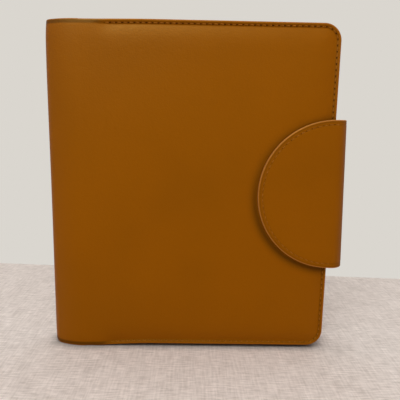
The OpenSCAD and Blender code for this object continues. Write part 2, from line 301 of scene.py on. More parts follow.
def calc(tree, operation, first, second=0.0, third=0.0):
    """One step of arithmetic on strengths or plain numbers."""
    node = tree.nodes.new("ShaderNodeMath")
    node.operation = operation
    for socket, value in zip(node.inputs, (first, second, third)):
        if isinstance(value, (int, float)):
            socket.default_value = value
        else:
            tree.links.new(value, socket)
    return node.outputs[0]


def mix(tree, factor, low, high):
    """Colour between two colours, by strength."""
    node = tree.nodes.new("ShaderNodeMix")
    node.data_type = "RGBA"
    for socket, value in zip((node.inputs[0], node.inputs[6], node.inputs[7]), (factor, low, high)):
        if isinstance(value, (int, float, tuple)):
            socket.default_value = value
        else:
            tree.links.new(value, socket)
    return node.outputs[2]


def toned(colour, share):
    """A darker or lighter tone of a colour."""
    return tuple(share * c for c in colour[:3]) + (1.0,)


def disc_metal(name, colour, roughness):
    """Plated disc, faintly stained."""
    material, tree, shader, where = finish(name, roughness, 0.5, 1.0)
    stain = noise(tree, where, 160, 4, 0.6)
    tree.links.new(mix(tree, stain, colour, toned(colour, 0.8)), shader.inputs["Base Color"])
    tree.links.new(calc(tree, "MULTIPLY_ADD", stain, 0.2, roughness - 0.1), shader.inputs["Roughness"])
    return material


wear("flap_magnets", disc_metal("nickel_plate", plain_colour(188, 186, 180), 0.25))
wear("keeper_plates", disc_metal("keeper_steel", plain_colour(170, 172, 176), 0.38))

# Cover leather: two padded covers and the spine are one tan hide, 1.4 mm thick, drawn over foam and
# board, turned in at the edges and sewn down on three sides, which leaves a low stitched border.
LEATHER_T, COVER_T, SWELL_RUN = 1.4, 6.8, 16.0
BORDER_START, LIP, GROOVE, GROOVE_IN = 44.0, 0.75, 1.95, 3.7
SPINE_EDGE_R, COVER_EDGE_R, INSIDE_EDGE_R = 0.6, 1.2, 1.4
TURNED_IN_T, LINING_SINK = 0.75, 0.5
LINING_X = SPINE_RUN + 1.0
EDGE_STEPS = np.array([0, 0.15, 0.4, 0.8, 1.3, 1.8, 2.2, 2.5, 2.7, 2.9, 3.2, 3.6, 4.1, 4.8, 5.6, 6.6, 7.8,
                       9.2, 10.8])
CORNER_STEP, FOLD_STEP, FOLD_RUN, COVER_STEP = 0.8, 0.3, 3.0, 4.0


def rounding(edge, radius):
    """How far a rounded edge falls away at a distance from the outline."""
    inside = np.clip(radius - edge, 0, radius)
    return radius - np.sqrt(radius ** 2 - inside ** 2)


def cover_columns(inset, step):
    """Mesh columns from the spine's middle to the fore-edge, close together at the fold and the border."""
    end, fold_end = cover_len - inset, flat_from + FOLD_RUN
    return np.concatenate([np.linspace(0, flat_from, 30), between(flat_from, fold_end, FOLD_STEP), [fold_end],
                           between(fold_end, end - CORNER_R, step), [end - CORNER_R + CORNER_STEP],
                           end - EDGE_STEPS[::-1]])


def cover_rows(inset, step):
    """Mesh rows from foot to head, close together at the borders."""
    low, high = inset, CASE_H - inset
    inner_low, inner_high = low + CORNER_R - CORNER_STEP, high - CORNER_R + CORNER_STEP
    return np.concatenate([low + EDGE_STEPS, [inner_low], between(inner_low, inner_high, step), [inner_high],
                           high - EDGE_STEPS[::-1]])


def cover_face(x, edge, z):
    """Depth of the leather's face below the crown: edge roll, sewn border, groove and padded rise."""
    sewn = smooth(x, BORDER_START - 6, BORDER_START + 6)
    rise = np.clip((edge - GROOVE_IN) / SWELL_RUN, 0, 1)
    border = np.where(edge < GROOVE_IN, LIP + (GROOVE - LIP) * smooth(edge, 0.6, GROOVE_IN + 0.6),
                      GROOVE * (1 - rise) ** 2.3)
    soft = smooth(edge, 6, 40)
    drift = 0.16 * np.sin(x / 31 + 0.7) * np.sin(z / 47 + 0.4) + 0.1 * np.sin(x / 17 - z / 29)
    edge_roll = rounding(edge, np.where(x < LINING_X, SPINE_EDGE_R, COVER_EDGE_R))
    tuck = drawn_in(edge) * (0.2 + 0.8 * smooth(z, 8, 30))
    return sewn * border + (1 - sewn) * tuck + edge_roll + soft * drift


def cover_inside(x, edge, z):
    """Depth of the cover's inner face: thin at the spine, thicker where leather is turned in over the board."""
    thick = smooth(x, LINING_X - 1.6, LINING_X + 0.6)
    turned_in = TURNED_IN_T * (1 - smooth(edge, 5.5, 7.5))
    face = LEATHER_T + (1 - thick) * (drawn_in(edge) + turned_in) + thick * (COVER_T - 0.25 - LEATHER_T)
    sunk = LINING_SINK * thick * smooth(edge, 5, 7)
    return face - sunk - rounding(edge, np.where(x < LINING_X, SPINE_EDGE_R, INSIDE_EDGE_R))


def painted(tree, label):
    """Strength of a finish that follows the piece's own outline."""
    node = tree.nodes.new("ShaderNodeAttribute")
    node.attribute_name = label
    return node.outputs["Fac"]


# Painted shadow of the closed flap on the front cover: a dark ring offset down and to the left of the flap's
# edge, fading upwards. It stays on the cover when the flap is opened.
FLAP_SHADOW_LEFT, FLAP_SHADOW_DOWN, FLAP_SHADOW_INSIDE, FLAP_SHADOW_SPAN = 1.5, 1.8, 4 * MM, 12 * MM
FLAP_SHADOW_DEPTHS = ((0.15, 0.0), (0.3, 0.84), (0.42, 0.8), (0.55, 0.5), (0.66, 0.28), (0.8, 0.1), (1.0, 0.0))
FLAP_SHADOW_FADE, FLAP_SHADOW_UPPER = 30 * MM, 0.55


def painted_flap_shadow(tree, where, centre, radius):
    """Painted shadow of the closed flap's edge on the cover, set low and to the left, deepest below its middle.
    """
    flat = tree.nodes.new("ShaderNodeVectorMath")
    flat.operation = "MULTIPLY"
    flat.inputs[1].default_value = (1, 0, 1)
    tree.links.new(where, flat.inputs[0])
    reach = tree.nodes.new("ShaderNodeVectorMath")
    reach.operation = "DISTANCE"
    reach.inputs[1].default_value = (centre[0], 0, centre[2])
    tree.links.new(flat.outputs["Vector"], reach.inputs[0])
    across = calc(tree, "MULTIPLY_ADD", reach.outputs["Value"], 1 / FLAP_SHADOW_SPAN, (FLAP_SHADOW_INSIDE - radius) / FLAP_SHADOW_SPAN)
    shadow_depth = ramp(tree, across, *((place, (depth, depth, depth, 1.0)) for place, depth in FLAP_SHADOW_DEPTHS))
    axes = tree.nodes.new("ShaderNodeSeparateXYZ")
    tree.links.new(where, axes.inputs["Vector"])
    fade = tree.nodes.new("ShaderNodeMapRange")
    fade.interpolation_type = "SMOOTHSTEP"
    for label, value in zip(("From Min", "From Max", "To Min", "To Max"),
                            (centre[2] - FLAP_SHADOW_FADE, centre[2] + FLAP_SHADOW_FADE, 1.0, FLAP_SHADOW_UPPER)):
        fade.inputs[label].default_value = value
    tree.links.new(axes.outputs["Z"], fade.inputs["Value"])
    return calc(tree, "MULTIPLY", shadow_depth, fade.outputs["Result"])


TAN_SHEEN = (1.0, 0.62, 0.1, 1.0)
CLOUDS, SLACK, CREASES, FLECKS, PEBBLE = 11, 110, 300, 420, 850


def hide(name, tan, rim_tan, mark=None):
    """Smooth tan leather: fine pebble, soft clouding, a paler edge (cut edge colour on the flap and inner
    pieces, painted highlight on the covers), painted shade in grooves and creases.
    """
    material, tree, shader, where = finish(name, 0.45, 0.2)
    shader.inputs["Specular Tint"].default_value = TAN_SHEEN
    clouds = noise(tree, where, CLOUDS)
    flecks = noise(tree, where, FLECKS, 3, 0.6)
    dark, light, deep = (toned(tan, share) for share in (0.93, 1.05, 0.3))
    colour = ramp(tree, clouds, (0.35, dark), (0.5, tan), (0.68, light))
    colour = mix(tree, calc(tree, "MULTIPLY_ADD", flecks, 0.8, -0.2), colour, dark)
    # Painted shade from the groove attribute in seam grooves, creases and the strap's bend, partly painted
    # shade at the flap's underside edge, and a darker band along the spine's ends.
    colour = mix(tree, painted(tree, "groove"), colour, deep)
    # Where given, the flap's painted shadow on the front cover.
    if mark:
        colour = mix(tree, painted_flap_shadow(tree, where, *mark), colour, deep)
    # The rim attribute pales the edge: cut edge colour on the flap and inner pieces, a painted highlight on the
    # covers' rolled edge.
    colour = mix(tree, painted(tree, "rim"), colour, rim_tan)
    tree.links.new(colour, shader.inputs["Base Color"])
    pebble = tree.nodes.new("ShaderNodeTexVoronoi")
    pebble.inputs["Scale"].default_value = PEBBLE
    tree.links.new(where, pebble.inputs["Vector"])
    creases = calc(tree, "MULTIPLY", noise(tree, where, CREASES, 4, 0.65), 0.6)
    grain = calc(tree, "MULTIPLY_ADD", pebble.outputs["Distance"], -0.7, creases)
    grain = calc(tree, "MULTIPLY_ADD", noise(tree, where, SLACK), 1.6, grain)
    bump(tree, shader, grain, 0.16 * MM, 0.55)
    tree.links.new(calc(tree, "MULTIPLY_ADD", flecks, 0.16, 0.45), shader.inputs["Roughness"])
    return material


def cover_shade(x, edge):
    """Painted shade in the seam's groove and a darker band along the spine's turned-in ends; the pale rim is a
    painted highlight on the rolled edge.
    """
    sewn = smooth(x, BORDER_START - 2, BORDER_START + 2)
    seam = smooth(edge, 1.2, 1.9) * (1 - smooth(edge, 3.2, 4.2))
    tuck = smooth(edge, 0.5, 0.9) * (1 - smooth(edge, 2.6, 4.0))
    groove = sewn * 0.38 * seam + (1 - sewn) * 0.8 * tuck
    return groove, (0.3 + 0.2 * sewn) * (1 - smooth(edge, 0.6, 1.4))


TAN = plain_colour(146, 81, 0)
# Paler tan of the covers' rolled edge: a painted highlight where the edge catches light.
EDGE_HIGHLIGHT_TAN = plain_colour(168, 104, 34)
FLAP_R = 58.0
flap_shadow_centre = at_frame(CASE_W - FLAP_SHADOW_LEFT, 0, MID_Z - FLAP_SHADOW_DOWN)
cover_hide = hide("cover_hide", TAN, EDGE_HIGHLIGHT_TAN)
# The front cover's leather carries the painted shadow of the flap.
front_hide = hide("front_hide", TAN, EDGE_HIGHLIGHT_TAN, (flap_shadow_centre, FLAP_R * MM))
for body, side, lift, leather, nodes in (
        ("back", 1, BACK_LIFT, cover_hide, ["back_leather", "back_padding"]),
        ("front", -1, FRONT_LIFT, front_hide, ["front_leather", "front_padding", "spine_leather"])):
    cover = shell(f"{body}_cover", cover_line, cover_columns(0, COVER_STEP), cover_rows(0, COVER_STEP),
                  CORNER_R, cover_face, cover_inside, cover_shade, mirrored=side > 0, lift=lift)
    dress(cover, leather, "cover_leather", *nodes)
    fold(cover)

# Inside lining: brown napped microfibre glued over the boards and down into the spine,
# its edges tucked under the turned-in leather.
LINING_INSET, LINING_T, HINGE_T, LINING_LAP = 4.6, 0.8, 2.35, 0.05
LINING_STEP, LINING_ROW, LINING_ROUND = 6.0, 8.0, 9.0


def lining_face(x, edge, z):
    """Depth of the lining: down in the spine it lies over the strip, on the cover over the board."""
    thick = smooth(x, LINING_X - 2.6, LINING_X)
    hinge = HINGE_T + (STRIP_IN - STRIP_OUT) * (1 - smooth(x, 4.5, 7.5)) + drawn_in(edge + LINING_INSET)
    return hinge + thick * (COVER_T - hinge) - 0.3 * rounding(edge, 0.8)


def lining_back(x, edge, z):
    return lining_face(x, edge, z) - LINING_T + LINING_LAP


def nap():
    """Brushed microfibre: short fibres, patchy where they were stroked."""
    material, tree, shader, where = finish("lining_nap", 0.95, 0.15)
    brushed = noise(tree, where, 55, 4, 0.6)
    fibre = noise(tree, where, 2200, 3, 0.7)
    colour = ramp(tree, brushed, (0.3, plain_colour(74, 48, 29)), (0.7, plain_colour(96, 65, 41)))
    colour = mix(tree, calc(tree, "MULTIPLY", fibre, 0.5), colour, plain_colour(58, 37, 22))
    tree.links.new(colour, shader.inputs["Base Color"])
    shader.inputs["Sheen Weight"].default_value = 0.3
    shader.inputs["Sheen Tint"].default_value = plain_colour(158, 112, 80)
    shader.inputs["Sheen Roughness"].default_value = 0.5
    bump(tree, shader, fibre, 0.2 * MM, 0.6)
    return material


lining_nap = nap()
for body, side, lift, nodes in (("back", 1, BACK_LIFT, ["back_lining"]),
                                ("front", -1, FRONT_LIFT, ["front_lining", "spine_lining"])):
    lining = shell(f"{body}_inside", cover_line, cover_columns(LINING_INSET, LINING_STEP),
                   cover_rows(LINING_INSET, LINING_ROW), LINING_ROUND, lining_back, lining_face,
                   mirrored=side > 0, lift=lift)
    dress(lining, lining_nap, "lining", *nodes)
    fold(lining)

# Panels and pockets inside: thinner tan leather, cut flat with rounded corners and sewn down.
# The slip pocket has a dipped mouth and each card pocket a shallow thumb notch.
PANEL_T, HOLDER_T, POCKET_T = 1.0, 0.9, 0.7
TABLET_W, TABLET_H = 186.0, 241.0
BAY_X = (LINING_X + CASE_W - LEATHER_T - TABLET_W) / 2
BAY_Z = (CASE_H - TABLET_H) / 2
PANEL_MARGIN = HOLDER_T + 1.0
PANEL_R, PANEL_ROLL, POCKET_ROLL = 6.0, 0.35, 0.25
SLIP_X, SLIP_MARGIN, SLIP_H, SLIP_R, SLIP_DIP = 38.0, 6.0, 176.0, 4.0, (90.0, 7.0)
CARD_X, CARD_Z, CARD_W, CARD_H, CARD_STEP = 60.0, 58.0, 98.0, 62.0, 14.0
CARD_R, CARD_NOTCH = 2.5, (26.0, 5.0)


def rounded(x0, z0, x1, z1, radius, dip=None):
    """Outline of a panel, counter-clockwise from its lower left, with a dip in its upper edge."""
    points = []
    for cx, cz, start in ((x0 + radius, z0 + radius, 180), (x1 - radius, z0 + radius, 270),
                          (x1 - radius, z1 - radius, 0), (x0 + radius, z1 - radius, 90)):
        for k in range(7):
            a = math.radians(start + 15 * k)
            points.append((cx + radius * math.cos(a), cz + radius * math.sin(a)))
        if start == 0 and dip:
            centre, width, depth = dip
            for k in range(1, 20):
                u = 1 - 2 * k / 20
                points.append((centre + u * width / 2, z1 - depth * math.cos(u * math.pi / 2) ** 2))
    return points


def panel(name, outline, y_seen, y_glued, roll):
    """A flat sheet between two depths, its seen edge rolled over."""
    work = bmesh.new()
    ring = [work.verts.new(at_frame(x, y_seen, z)) for x, z in outline]
    face = work.faces.new(ring)
    side = bmesh.ops.extrude_face_region(work, geom=[face])
    moved = [v for v in side["geom"] if isinstance(v, bmesh.types.BMVert)]
    bmesh.ops.translate(work, verts=moved, vec=Vector((0, (y_glued - y_seen) * MM, 0)))
    bmesh.ops.recalc_face_normals(work, faces=work.faces)
    rolled = [e for e in work.edges if all(abs(v.co.y - ring[0].co.y) < 1e-7 for v in e.verts)]
    bmesh.ops.bevel(work, geom=rolled, offset=roll * MM, segments=3, affect="EDGES", profile=0.5)
    for f in work.faces:
        f.smooth = len(f.verts) <= 4
    mesh = bpy.data.meshes.new(name)
    work.to_mesh(mesh)
    work.free()
    seen_y = at_frame(0, y_seen, 0)[1]
    rim = mesh.attributes.new("rim", "FLOAT", "POINT")
    rim.data.foreach_set("value", [float(abs(v.co.y - seen_y) > 0.02 * MM) for v in mesh.vertices])
    return placed(name, mesh)


inner_hide = hide("inner_hide", plain_colour(142, 82, 14), plain_colour(150, 92, 30))
panel_y = HALF_T - COVER_T - PANEL_T
panel_outline = rounded(BAY_X - PANEL_MARGIN, BAY_Z - PANEL_MARGIN, BAY_X + TABLET_W + PANEL_MARGIN,
                        BAY_Z + TABLET_H + PANEL_MARGIN, PANEL_R)
holder_panel = panel("tablet_panel", panel_outline, panel_y, panel_y + PANEL_T, PANEL_ROLL)
dress(holder_panel, inner_hide, "inner_leather", "holder_panel")
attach(holder_panel, "back")

slip_right = CASE_W - LEATHER_T - 0.1 - SLIP_MARGIN
slip_top = SLIP_MARGIN + SLIP_H
slip_y = -HALF_T + COVER_T
slip_outline = rounded(SLIP_X, SLIP_MARGIN, slip_right, slip_top, SLIP_R,
                       ((SLIP_X + slip_right) / 2, *SLIP_DIP))
slip = panel("slip_pocket_leather", slip_outline, slip_y + POCKET_T, slip_y, POCKET_ROLL)
dress(slip, inner_hide, "inner_leather", "slip_pocket")
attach(slip, "front")
card_tops = []
for number, place in enumerate(("rear", "middle", "front"), 1):
    card_y = slip_y + number * POCKET_T
    card_top = CARD_Z + CARD_H + (3 - number) * CARD_STEP
    card_tops.append((card_y + POCKET_T, card_top))
    card_outline = rounded(CARD_X, CARD_Z, CARD_X + CARD_W, card_top, CARD_R,
                           (CARD_X + CARD_W / 2, *CARD_NOTCH))
    card = panel(f"card_{place}", card_outline, card_y + POCKET_T, card_y, POCKET_ROLL)
    dress(card, inner_hide, "inner_leather", f"card_pocket_{place}")
    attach(card, "front")

# Corner holders: leather folded over the tablet's corners, two walls and a cap with a hollowed
# edge, sewn through the panel behind.
TABLET_T, HOLDER_LEG, HOLDER_HOLLOW, HOLDER_FOLD = 9.0, 34.0, 3.0, 0.35
cap_y = panel_y - TABLET_T - HOLDER_T


def hollow_edge(inset, steps=12):
    """Free edge of a holder's cap from leg to leg, bowed towards the corner, or a line inside it."""
    span, points = HOLDER_LEG + HOLDER_T, []
    for k in range(steps + 1):
        pull = HOLDER_HOLLOW * math.sin(math.pi * k / steps) + inset
        points.append((HOLDER_LEG - span * k / steps - pull, -HOLDER_T + span * k / steps - pull))
    return points


def at_corner(right, upper, u, v, y):
    """A place given from one corner of the tablet bay inwards."""
    x = BAY_X + TABLET_W - u if right else BAY_X + u
    z = BAY_Z + TABLET_H - v if upper else BAY_Z + v
    return x, y, z


def corner_holder(name, right, upper):
    """Two walls on the panel and a cap over one corner of the tablet, one thickness throughout."""
    t, end = HOLDER_T, HOLDER_LEG - 2 * HOLDER_T
    work = bmesh.new()

    def ring(points, y):
        return [work.verts.new(at_frame(*at_corner(right, upper, u, v, y))) for u, v in points]

    hollow = hollow_edge(0)[1:-1]
    cap = ring([(-t, -t), (HOLDER_LEG, -t), *hollow, (-t, HOLDER_LEG)], cap_y)
    under = ring([(0, 0), (end, 0), *hollow, (0, end)], cap_y + t)
    foot = ring([(-t, -t), (HOLDER_LEG - t, -t), (-t, HOLDER_LEG - t)], panel_y)
    sole = ring([(0, 0), (end, 0), (0, end)], panel_y)
    faces = [cap, under]
    for top, low in ((cap, foot), (under, sole)):
        faces += [(top[0], top[1], low[1], low[0]), (top[0], top[-1], low[2], low[0])]
    faces += [(foot[0], foot[k], sole[k], sole[0]) for k in (1, 2)]
    faces += [(cap[1], under[1], sole[1], foot[1]), (cap[-1], under[-1], sole[2], foot[2])]
    faces += [(cap[k], cap[k + 1], under[k + 1], under[k]) for k in range(1, len(cap) - 1)]
    for corners in faces:
        work.faces.new(corners)
    bmesh.ops.recalc_face_normals(work, faces=work.faces)
    folds = [e for e in work.edges if e.calc_face_angle(0) > math.radians(40)]
    bmesh.ops.bevel(work, geom=folds, offset=HOLDER_FOLD * MM, segments=3, affect="EDGES", profile=0.5)
    for face in work.faces:
        face.smooth = len(face.verts) <= 4 and face.calc_area() < 30e-6
    mesh = bpy.data.meshes.new(name)
    work.to_mesh(mesh)
    work.free()
    return placed(name, mesh)


CORNERS = [(level, place) for level in ("upper", "lower") for place in ("inner", "outer")]
for level, place in CORNERS:
    holder = corner_holder(f"corner_{level}_{place}", place == "outer", level == "upper")
    dress(holder, inner_hide, "inner_leather", f"{level}_{place}_holder")
    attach(holder, "back")

# Pen loop: a strip of the inner leather rolled into a tube with softened rims, sewn into the
# hollow of the spine.
PEN_R, PEN_LOOP_LEN, PEN_LOOP_T, PEN_LOOP_SIDES = 5.2, 32.0, 1.1, 64


def pen_loop_mesh():
    """Tube wall with half-round rims, turned about the spine's axis."""
    rim = PEN_LOOP_T / 2
    section = []
    for k in range(9):
        a = math.pi * k / 8
        section.append((PEN_R + rim + rim * math.cos(a), PEN_LOOP_LEN / 2 - rim + rim * math.sin(a)))
    section += [(r, -z) for r, z in reversed(section)]
    n, verts, faces = len(section), [], []
    for k in range(PEN_LOOP_SIDES):
        a = 2 * math.pi * k / PEN_LOOP_SIDES
        verts += [at_frame(SPINE_R + r * math.cos(a), r * math.sin(a), MID_Z + z) for r, z in section]
        p, q = k * n, ((k + 1) % PEN_LOOP_SIDES) * n
        faces += [(p + j, q + j, q + (j + 1) % n, p + (j + 1) % n) for j in range(n)]
    mesh = bpy.data.meshes.new("pen_loop_leather")
    mesh.from_pydata(verts, [], faces)
    work = bmesh.new()
    work.from_mesh(mesh)
    bmesh.ops.recalc_face_normals(work, faces=work.faces)
    for face in work.faces:
        face.smooth = True
    work.to_mesh(mesh)
    work.free()
    cut = mesh.attributes.new("rim", "FLOAT", "POINT")
    at_rim = [float(abs(z) > PEN_LOOP_LEN / 2 - rim) for r, z in section]
    cut.data.foreach_set("value", at_rim * PEN_LOOP_SIDES)
    return mesh


pen_loop = placed("pen_loop_leather", pen_loop_mesh())
dress(pen_loop, inner_hide, "inner_leather", "pen_loop")
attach(pen_loop, "spine")

# Strap and flap: two leathers glued back to back and cut to a half-round, with a painted edge.
# The strap is sewn into the back cover and bends round the fore-edge on to the front.
STRAP_T, STRAP_SKIVE, SEWN_END, SWELL = 1.8, 0.4, 8.0, 1.2
FLAP_STITCH_INSET, FLAP_FACE_R, FLAP_BACK_R = 3.6, 0.9, 0.5
BEND_SLANT, BEND_OFFSET, BEND_STEP = -0.028, 0.6, 1.2
CREASE_IN, STITCH_DIP = 1.7, 0.6
FLAP_STEPS = np.array([0, 0.1, 0.25, 0.5, 0.9, 1.5, 2.3, 2.9, 3.3, 3.6, 3.9, 4.3, 5.0, 6.5])
FLAP_BORDER, FLAP_STEP = FLAP_STEPS[-1], 2.5
bend_r = BEND_OUT - BEND_OFFSET
bend_x = CASE_W + BEND_OFFSET
strap_root = HALF_T - SWELL - LEATHER_T
bend_front_y = bend_r - FLAP_FACE
bend_back_y = strap_root - bend_r
bend_half = (bend_back_y - bend_front_y) / 2
quarter = bend_r * math.pi / 2


def bend_line(towards_front):
    """Section of half the strap's bend, from its outermost line to the flat flap or the sewn end."""
    side = -1 if towards_front else 1
    centre = bend_front_y if towards_front else bend_back_y

    def line(s):
        a = np.clip((s - bend_half) / bend_r, 0, math.pi / 2)
        straight = np.clip(bend_half - s, 0, None)
        flat = np.clip(s - bend_half - quarter, 0, None)
        x = bend_x + bend_r * np.cos(a) - flat
        y = centre + side * (bend_r * np.sin(a) - straight)
        return x, y, -np.cos(a), -side * np.sin(a)
    return line


def hump(value, middle, width):
    """Soft ridge of height 1 round a middle."""
    return np.exp(-((value - middle) / width) ** 2)


def bend_skew(x, z):
    """How far the bend leans out towards its foot."""
    return BEND_SLANT * (z - MID_Z) * np.clip((x - CASE_W) / BEND_OUT, 0, 1)


def flap_face(x, edge, z):
    """Depth of the outer face: rounded cut edge, pressed crease and the dip of the stitches."""
    groove = 0.2 * hump(edge, CREASE_IN, 0.45) + 0.14 * hump(edge, FLAP_STITCH_INSET, STITCH_DIP)
    return rounding(edge, FLAP_FACE_R) + groove - bend_skew(x, z)


def flap_back(x, edge, z):
    """Depth of the flap's inner face, which thickens from the strap to the stiffened flap."""
    thick = STRAP_T + (FLAP_T - STRAP_T) * smooth(-x, -bend_x - 3, -bend_x + 2)
    return thick - rounding(edge, FLAP_BACK_R) - bend_skew(x, z)


def strap_back(x, edge, z):
    """Depth of the strap's inner face, skived thinner where it is sewn in."""
    skived = STRAP_SKIVE * smooth(-x, -bend_x - 2, -CASE_W)
    return STRAP_T - skived - rounding(edge, FLAP_BACK_R) - bend_skew(x, z)


bend_len = bend_half + quarter + BEND_OFFSET
flap_len, strap_len = bend_len + FLAP_R, bend_len + SEWN_END
disc_from = flap_len - FLAP_R
flap_foot, flap_head = MID_Z - FLAP_R, MID_Z + FLAP_R
flap_columns = np.concatenate([[0], between(0, disc_from, BEND_STEP), [disc_from],
                               between(disc_from, flap_len - FLAP_BORDER, FLAP_STEP),
                               flap_len - FLAP_STEPS[::-1]])
flap_rows = np.concatenate([flap_foot + FLAP_STEPS, between(flap_foot + FLAP_BORDER, MID_Z, FLAP_STEP), [MID_Z],
                            between(MID_Z, flap_head - FLAP_BORDER, FLAP_STEP), flap_head - FLAP_STEPS[::-1]])
sewn_from = strap_len - SEWN_END
strap_columns = np.concatenate([[0], between(0, sewn_from, BEND_STEP),
                                [sewn_from, strap_len - SEWN_END / 2, strap_len]])


def flap_shade(x, edge):
    """A paler cut edge, painted shade in the crease pressed inside it and in the dip of the stitches, and
    painted shade on the strap's bend where it turns away from the light.
    """
    # Painted shade: the strap's bend darkens as it turns away from the light.
    bend = 0.22 * smooth(x, CASE_W + 2, CASE_W + BEND_OUT)
    groove = 0.45 * hump(edge, 1.65, 0.5) + 0.25 * hump(edge, FLAP_STITCH_INSET, STITCH_DIP) + bend
    return groove, 1 - smooth(edge, 0.45, 1.0)


flap_hide = hide("flap_hide", TAN, plain_colour(176, 114, 52))
# The flap's back face is darkened along its outline, partly painted shade in the gap under it.
flap = shell("flap_and_bend", bend_line(True), flap_columns, flap_rows, FLAP_R, flap_face, flap_back,
             flap_shade, underside_shade=0.9)
dress(flap, flap_hide, "cover_leather", "flap_leather", "flap_lining", "strap_leather", "strap_lining")
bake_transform(flap)

strap = shell("strap_root", bend_line(False), strap_columns, flap_rows, 0, flap_face, strap_back, flap_shade)
dress(strap, flap_hide, "cover_leather", "flap_anchor")
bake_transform(strap)

# Stitching: waxed brown thread, one slanted stitch every 4.4 mm, pulled down into the groove round
# each cover and round the flap. Between the stitches the needle holes are flat dark discs of painted shade.
STITCH_PITCH, STITCH_LEN, STITCH_INSET, STITCH_SLANT = 4.4, 3.1, 2.7, math.radians(6)
THREAD_WIDE, THREAD_PROUD, HOLE_PROUD, SEAM_SINK, FLAP_SEAM_SINK = 0.38, 0.3, 0.2, 0.6, 0.18
COVER_HOLE, FLAP_HOLE = (0.9, 0.56), (0.5, 0.34)
INNER_INSET, INNER_WIDE, INNER_PROUD, INNER_HOLDER_INSET = 2.6, 0.34, 0.22, 1.8


def stitch_tree():
    """Geometry Nodes that set one slanted bead of thread at every pitch along a path."""
    tree = bpy.data.node_groups.new("saddle_stitch", "GeometryNodeTree")
    ports = tree.interface
    ports.new_socket("Path", in_out="INPUT", socket_type="NodeSocketGeometry")
    for label in ("Pitch", "Long", "Wide", "Proud", "Slant"):
        ports.new_socket(label, in_out="INPUT", socket_type="NodeSocketFloat")
    ports.new_socket("Thread", in_out="INPUT", socket_type="NodeSocketMaterial")
    ports.new_socket("Stitches", in_out="OUTPUT", socket_type="NodeSocketGeometry")
    given = tree.nodes.new("NodeGroupInput")
    result = tree.nodes.new("NodeGroupOutput")
    path = tree.nodes.new("GeometryNodeMeshToCurve")
    points = tree.nodes.new("GeometryNodeCurveToPoints")
    points.mode = "LENGTH"
    along = tree.nodes.new("FunctionNodeAlignRotationToVector")
    along.axis = "X"
    slant = tree.nodes.new("FunctionNodeRotateRotation")
    slant.rotation_space = "GLOBAL"
    lean = tree.nodes.new("FunctionNodeAxisAngleToRotation")
    lean.inputs["Axis"].default_value = (0, 1, 0)
    bead = tree.nodes.new("GeometryNodeMeshUVSphere")
    bead.inputs["Segments"].default_value = 8
    bead.inputs["Rings"].default_value = 6
    bead.inputs["Radius"].default_value = 1.0
    size = tree.nodes.new("ShaderNodeCombineXYZ")
    shape = tree.nodes.new("GeometryNodeTransform")
    sew = tree.nodes.new("GeometryNodeInstanceOnPoints")
    real = tree.nodes.new("GeometryNodeRealizeInstances")
    dye = tree.nodes.new("GeometryNodeSetMaterial")
    link = tree.links.new
    link(given.outputs["Path"], path.inputs["Mesh"])
    link(path.outputs["Curve"], points.inputs["Curve"])
    link(given.outputs["Pitch"], points.inputs["Length"])
    link(points.outputs["Tangent"], along.inputs["Vector"])
    link(given.outputs["Slant"], lean.inputs["Angle"])
    link(along.outputs["Rotation"], slant.inputs["Rotation"])
    link(lean.outputs["Rotation"], slant.inputs["Rotate By"])
    for label, axis in (("Long", "X"), ("Proud", "Y"), ("Wide", "Z")):
        link(given.outputs[label], size.inputs[axis])
    link(bead.outputs["Mesh"], shape.inputs["Geometry"])
    link(size.outputs["Vector"], shape.inputs["Scale"])
    link(points.outputs["Points"], sew.inputs["Points"])
    link(shape.outputs["Geometry"], sew.inputs["Instance"])
    link(slant.outputs["Rotation"], sew.inputs["Rotation"])
    link(sew.outputs["Instances"], real.inputs["Geometry"])
    link(real.outputs["Geometry"], dye.inputs["Geometry"])
    link(given.outputs["Thread"], dye.inputs["Material"])
    link(dye.outputs["Geometry"], result.inputs["Stitches"])
    return tree


saddle_stitch = stitch_tree()


def sew(name, path, thread, long, wide, proud, slant):
    """Stitches at an even pitch along paths given as points in millimetres."""
    mesh = bpy.data.meshes.new(name + "_path")
    verts, edges = [], []
    for line in path:
        edges += [(len(verts) + k, len(verts) + k + 1) for k in range(len(line) - 1)]
        verts += [at_frame(*p) for p in line]
    mesh.from_pydata(verts, edges, [])
    guide = placed(name + "_path", mesh)
    modifier = guide.modifiers.new("stitches", "NODES")
    modifier.node_group = saddle_stitch
    values = {"Pitch": STITCH_PITCH * MM, "Long": long * MM, "Wide": wide * MM, "Proud": proud * MM,
              "Slant": slant, "Thread": thread}
    for socket in saddle_stitch.interface.items_tree:
        if socket.in_out == "INPUT" and socket.name in values:
            modifier[socket.identifier] = values[socket.name]
    made = bpy.data.meshes.new_from_object(guide.evaluated_get(bpy.context.evaluated_depsgraph_get()))
    guide.modifiers.clear()
    bpy.data.objects.remove(guide)
    made.name = name
    for face in made.polygons:
        face.use_smooth = True
    return placed(name, made)


def waxed_thread():
    material, tree, shader, where = finish("waxed_thread", 0.7, 0.1)
    shader.inputs["Specular Tint"].default_value = TAN_SHEEN
    twist = noise(tree, where, 1500)
    colour = ramp(tree, twist, (0.35, plain_colour(134, 78, 18)), (0.65, plain_colour(164, 102, 36)))
    tree.links.new(colour, shader.inputs["Base Color"])
    bump(tree, shader, twist, 0.1 * MM, 0.6)
    return material


def needle_hole_shade():
    # Painted shade: the dark inside a needle hole, carried by a flat disc between the stitches.
    material, tree, shader, where = finish("needle_hole_shade", 0.9, 0.0)
    shadow = noise(tree, where, 900)
    colour = ramp(tree, shadow, (0.4, plain_colour(66, 29, 3)), (0.6, plain_colour(84, 40, 5)))
    tree.links.new(colour, shader.inputs["Base Color"])
    return material


